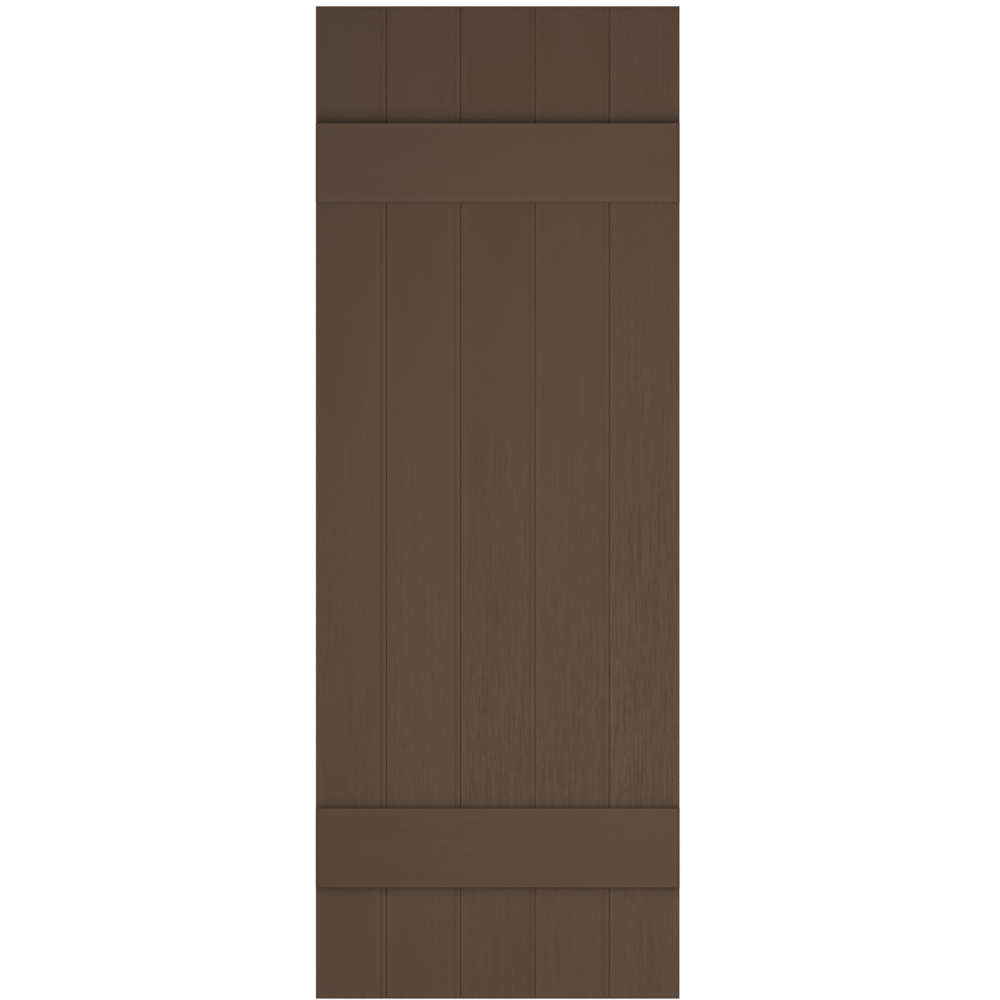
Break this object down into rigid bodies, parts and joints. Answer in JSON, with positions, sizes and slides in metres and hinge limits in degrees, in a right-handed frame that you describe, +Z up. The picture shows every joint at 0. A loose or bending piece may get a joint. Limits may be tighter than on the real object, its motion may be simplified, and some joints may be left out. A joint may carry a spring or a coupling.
{
  "type": "board and batten shutter",
  "caption": "Fixed exterior window shutter of upright tongue-and-groove boards, held flat by battens across the face that are screwed on from the back.",
  "frame": {"origin": "middle of the shutter's back, on the plane that lies against the wall", "axes": "+Z up along the boards, +X to the right as seen from the front, +Y from the back into the wall, so the face with the battens looks along -Y"},
  "size_m": [0.4444, 0.0318, 1.2128],
  "materials": {
    "boards": "brown solid stain, satin, fine raised grain along the board",
    "battens": "brown solid stain, satin, fine raised grain along the batten",
    "screws": "coated exterior wood screws, bronze grey, satin"
  },
  "bodies": {
    "root": {"left_edge_board": "boards", "left_inner_board": "boards", "centre_board": "boards", "right_inner_board": "boards", "right_edge_board": "boards", "top_batten": "battens", "bottom_batten": "battens", "top_batten_screw_1": "screws", "top_batten_screw_2": "screws", "top_batten_screw_3": "screws", "top_batten_screw_4": "screws", "top_batten_screw_5": "screws", "top_batten_screw_6": "screws", "top_batten_screw_7": "screws", "bottom_batten_screw_1": "screws", "bottom_batten_screw_2": "screws", "bottom_batten_screw_3": "screws", "bottom_batten_screw_4": "screws", "bottom_batten_screw_5": "screws", "bottom_batten_screw_6": "screws", "bottom_batten_screw_7": "screws"}
  },
  "joints": []
}
